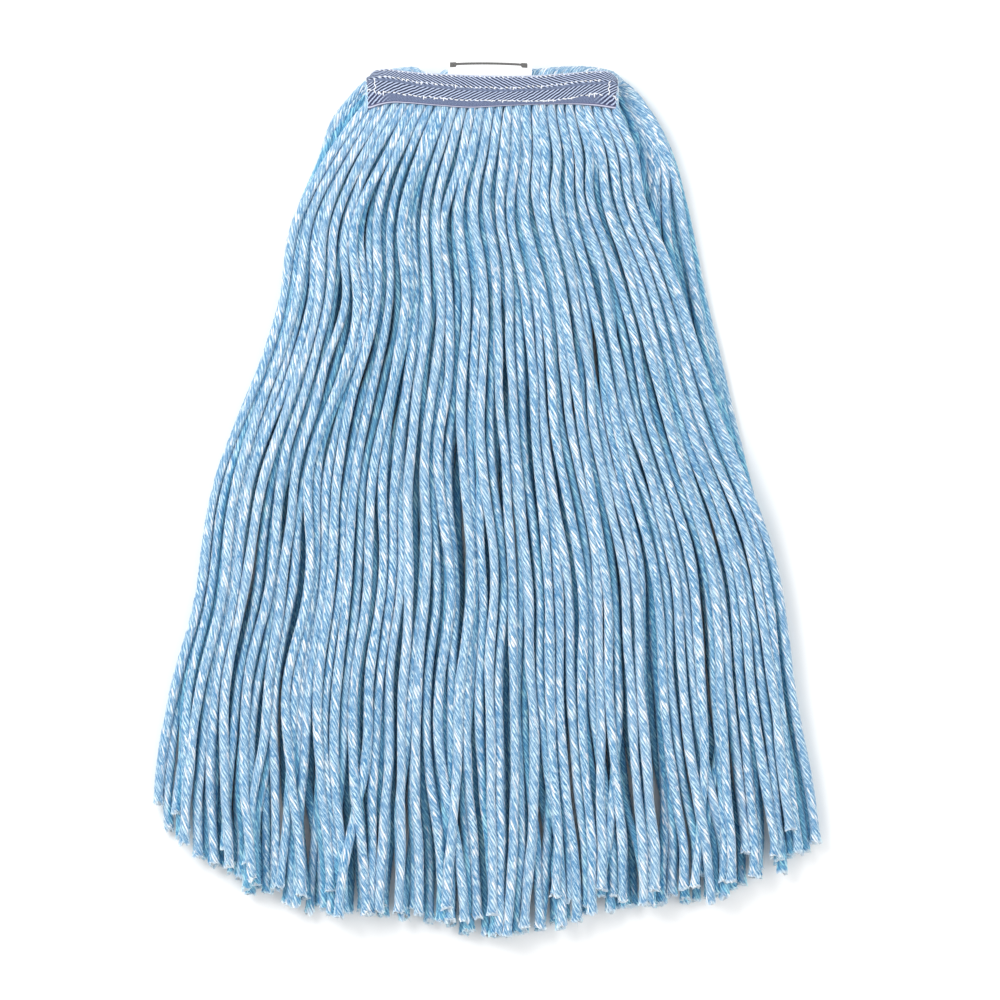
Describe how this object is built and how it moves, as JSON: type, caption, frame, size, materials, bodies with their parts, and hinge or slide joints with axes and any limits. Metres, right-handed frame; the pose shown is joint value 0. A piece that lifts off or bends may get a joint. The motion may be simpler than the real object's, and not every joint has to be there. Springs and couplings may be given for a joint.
{
  "type": "string mop head",
  "caption": "Cut-end wet mop head: twisted yarn strands sewn across their middle into a narrow woven headband and folded in half, spreading into a fan.",
  "frame": {"origin": "middle of the front face of the headband, with the mop head lying flat and folded in half", "axes": "+X along the headband to the right, +Y from the strand tips towards the headband, +Z out of the headband's front face"},
  "size_m": [0.4282, 0.5728, 0.0279],
  "materials": {
    "yarn": "light blue marled four-ply twisted yarn, matt, with pale slubs and dark flecks",
    "tape": "herringbone twill tape in white, navy and lavender grey",
    "thread": "white polyester sewing thread",
    "label": "white woven label, plain",
    "label_edge": "dark grey woven edge"
  },
  "bodies": {
    "headband": {"headband_tape_front": "tape", "headband_tape_back": "tape", "band_yarn": "yarn", "needle_thread_top": "thread", "needle_thread_middle": "thread", "needle_thread_bottom": "thread", "bobbin_thread_middle": "thread", "bobbin_thread_bottom": "thread", "bar_tack_left": "thread", "bar_tack_right": "thread", "back_left_fold": "yarn", "back_middle_fold": "yarn", "back_right_fold": "yarn"},
    "label_flap": {"care_label": "label", "label_border": "label_edge"},
    "front_left_lock": {"front_left_strands": "yarn"},
    "front_left_lock_end": {"front_left_tips": "yarn"},
    "back_left_lock": {"back_left_strands": "yarn"},
    "front_middle_lock": {"front_middle_strands": "yarn"},
    "front_middle_lock_end": {"front_middle_tips": "yarn"},
    "back_middle_lock": {"back_middle_strands": "yarn"},
    "front_right_lock": {"front_right_strands": "yarn"},
    "front_right_lock_end": {"front_right_tips": "yarn"},
    "back_right_lock": {"back_right_strands": "yarn"}
  },
  "joints": [
    {"name": "label_lift", "type": "hinge", "parent": "headband", "child": "label_flap", "pos_m": [0, 0.0086, 0.0001], "axis": [1, 0, 0], "range_deg": [0, 120]},
    {"name": "front_left_lift", "type": "hinge", "parent": "headband", "child": "front_left_lock", "pos_m": [0, -0.01275, 0.0001], "axis": [-1, 0, 0], "range_deg": [0, 100]},
    {"name": "front_left_curl", "type": "hinge", "parent": "front_left_lock", "child": "front_left_lock_end", "pos_m": [0, -0.2695, -0.0076], "axis": [-1, 0, 0], "range_deg": [0, 70]},
    {"name": "back_left_open", "type": "hinge", "parent": "headband", "child": "back_left_lock", "pos_m": [0, 0.006, -0.0144], "axis": [1, 0, 0], "range_deg": [0, 175], "deforming": ["back_left_fold"]},
    {"name": "front_middle_lift", "type": "hinge", "parent": "headband", "child": "front_middle_lock", "pos_m": [0, -0.01275, 0.0001], "axis": [-1, 0, 0], "range_deg": [0, 100]},
    {"name": "front_middle_curl", "type": "hinge", "parent": "front_middle_lock", "child": "front_middle_lock_end", "pos_m": [0, -0.2695, -0.0076], "axis": [-1, 0, 0], "range_deg": [0, 70]},
    {"name": "back_middle_open", "type": "hinge", "parent": "headband", "child": "back_middle_lock", "pos_m": [0, 0.006, -0.0144], "axis": [1, 0, 0], "range_deg": [0, 175], "deforming": ["back_middle_fold"]},
    {"name": "front_right_lift", "type": "hinge", "parent": "headband", "child": "front_right_lock", "pos_m": [0, -0.01275, 0.0001], "axis": [-1, 0, 0], "range_deg": [0, 100]},
    {"name": "front_right_curl", "type": "hinge", "parent": "front_right_lock", "child": "front_right_lock_end", "pos_m": [0, -0.2695, -0.0076], "axis": [-1, 0, 0], "range_deg": [0, 70]},
    {"name": "back_right_open", "type": "hinge", "parent": "headband", "child": "back_right_lock", "pos_m": [0, 0.006, -0.0144], "axis": [1, 0, 0], "range_deg": [0, 175], "deforming": ["back_right_fold"]}
  ]
}
